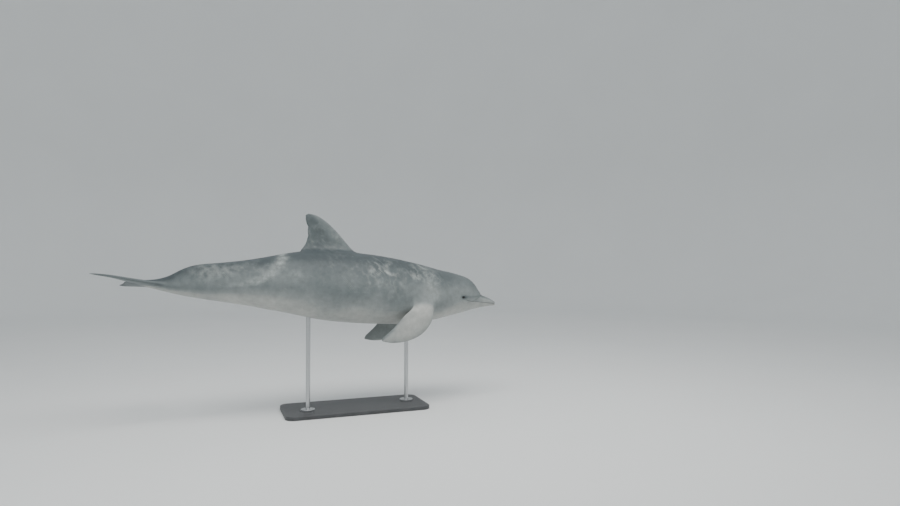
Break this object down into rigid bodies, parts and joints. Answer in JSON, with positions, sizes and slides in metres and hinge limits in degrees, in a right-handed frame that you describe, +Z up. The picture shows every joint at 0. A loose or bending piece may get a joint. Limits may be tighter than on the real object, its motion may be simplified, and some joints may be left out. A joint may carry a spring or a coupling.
{
  "type": "bottlenose dolphin display model",
  "caption": "Life-size still model of a swimming bottlenose dolphin, held by a flat base and two short rods.",
  "frame": {"origin": "middle of the underside of the stand's base, on the floor", "axes": "+X towards the beak, +Y towards the animal's left side, +Z up"},
  "size_m": [2.5932, 0.6006, 1.3049],
  "materials": {
    "skin": "smooth satin skin, darker on the back and pale on the belly",
    "eye": "clear wet gloss over a dark brown eye",
    "stand_paint": "fine matt powder coat",
    "stand_steel": "brushed round the rod"
  },
  "bodies": {
    "root": {"upper_beak": "skin", "lower_jaw": "skin", "head": "skin", "eye_left": "eye", "eye_right": "eye", "chest": "skin", "loin": "skin", "tail_stock": "skin", "dorsal_fin": "skin", "flipper_left": "skin", "flipper_right": "skin", "fluke_left": "skin", "fluke_right": "skin", "stand_base": "stand_paint", "stand_rod_front": "stand_steel", "stand_rod_rear": "stand_steel"}
  },
  "joints": []
}
